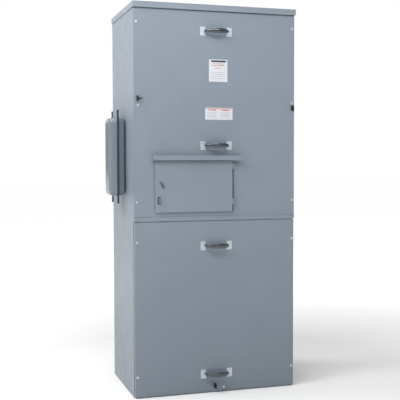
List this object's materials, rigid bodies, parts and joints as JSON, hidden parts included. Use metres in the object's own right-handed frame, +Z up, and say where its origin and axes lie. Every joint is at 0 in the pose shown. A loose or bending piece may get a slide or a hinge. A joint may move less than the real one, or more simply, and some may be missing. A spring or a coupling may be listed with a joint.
{
  "type": "main circuit breaker cabinet",
  "caption": "Free-standing outdoor main breaker cabinet with lift-off covers, a hinged breaker access door under a drip hood, and a side bus throat.",
  "frame": {"origin": "centre of the four floor anchor holes, on the underside of the base", "axes": "+Z up, +Y to the back (wall) side, -Y out of the covers, +X to the right as seen from the front"},
  "size_m": [0.9056, 0.55, 1.88],
  "materials": {
    "cabinet_paint": "semi-gloss light blue-gray enamel on sheet steel",
    "dark_gray_paint": "glossy darker gray enamel on drawn steel",
    "grip_vinyl": "glossy dark-gray moulded grip",
    "zinc_steel": "bright zinc plate, lightly spangled",
    "black_steel": "black oxide steel",
    "copper": "bare copper bar, lightly tarnished",
    "black_moulding": "matte black moulding",
    "foam_gasket": "closed-cell foam",
    "red_polyester": "glass-filled red-brown polyester",
    "lug_aluminium": "tin-plated aluminium",
    "label_stock": null,
    "red_button": "glossy red"
  },
  "bodies": {
    "enclosure": {"back_panel": "cabinet_paint", "left_side_panel": "cabinet_paint", "right_side_panel": "cabinet_paint", "roof": "cabinet_paint", "bottom_pan": "cabinet_paint", "bottom_closing_plate": "zinc_steel", "front_rails": "cabinet_paint", "bus_throat": "dark_gray_paint", "throat_gasket": "foam_gasket", "throat_end_cap": "dark_gray_paint", "throat_cleats": "black_steel", "cabinet_screws": "zinc_steel", "seal_lugs": "black_steel", "pan_channels": "zinc_steel", "breaker_pan": "zinc_steel", "dead_front": "cabinet_paint", "dead_front_posts": "zinc_steel", "bus_support_plate": "red_polyester", "bus_insulators": "red_polyester", "breaker_base": "black_moulding", "breaker_case_top": "black_moulding", "trip_unit": "black_moulding", "arc_chutes": "zinc_steel", "breaker_terminals": "copper", "line_bus_a": "copper", "line_bus_b": "copper", "line_bus_c": "copper", "load_bus_a": "copper", "load_bus_b": "copper", "load_bus_c": "copper", "cross_bus_a": "copper", "cross_bus_b": "copper", "cross_bus_c": "copper", "neutral_bus": "copper", "bus_bolts": "zinc_steel", "cable_lugs": "lug_aluminium", "lug_set_screws": "zinc_steel", "ground_bar": "lug_aluminium", "bonding_jumper": "copper"},
    "upper_cover": {"upper_cover": "cabinet_paint", "upper_gasket": "foam_gasket", "upper_cover_screws": "zinc_steel", "upper_handle_grips": "grip_vinyl", "upper_handle_plates": "zinc_steel", "cover_labels": "label_stock", "drip_hood": "cabinet_paint", "door_hinge_leaves": "cabinet_paint", "padlock_staple": "cabinet_paint"},
    "access_door": {"access_door": "cabinet_paint", "door_hinge_arms": "cabinet_paint", "door_gasket": "foam_gasket"},
    "door_latch": {"door_latch": "black_moulding"},
    "lower_cover": {"lower_cover": "cabinet_paint", "lower_gasket": "foam_gasket", "lower_cover_screws": "zinc_steel", "lower_handle_grips": "grip_vinyl", "lower_handle_plates": "zinc_steel"},
    "breaker_handle": {"breaker_handle": "black_moulding"},
    "trip_button": {"trip_button": "red_button"},
    "contact_arms": {"contact_arms": "copper"}
  },
  "joints": [
    {"name": "upper_cover_lift_off", "type": "slide", "parent": "enclosure", "child": "upper_cover", "axis": [0, -1, 0], "range_m": [0, 0.35]},
    {"name": "lower_cover_lift_off", "type": "slide", "parent": "enclosure", "child": "lower_cover", "axis": [0, -1, 0], "range_m": [0, 0.35]},
    {"name": "access_door_hinge", "type": "hinge", "parent": "upper_cover", "child": "access_door", "pos_m": [0.085, -0.26, 1.011], "axis": [0, 0, 1], "range_deg": [0, 110]},
    {"name": "door_latch_turn", "type": "hinge", "parent": "access_door", "child": "door_latch", "pos_m": [-0.27, -0.264, 1.012], "axis": [0, 1, 0], "range_deg": [0, 90]},
    {"name": "breaker_handle_throw", "type": "hinge", "parent": "enclosure", "child": "breaker_handle", "pos_m": [-0.1145, -0.164, 1.011], "axis": [0, 0, -1], "range_deg": [0, 36]},
    {"name": "contact_arms_swing", "type": "hinge", "parent": "enclosure", "child": "contact_arms", "pos_m": [-0.1545, -0.138, 1.011], "axis": [0, 0, -1], "range_deg": [0, 18]},
    {"name": "trip_button_push", "type": "slide", "parent": "enclosure", "child": "trip_button", "axis": [0, 1, 0], "range_m": [0, 0.0025], "stiffness_N_per_m": 400, "springref_m": -0.0005}
  ],
  "couplings": [
    {"joint": "contact_arms_swing", "follows": "breaker_handle_throw", "ratio": 0.5}
  ]
}
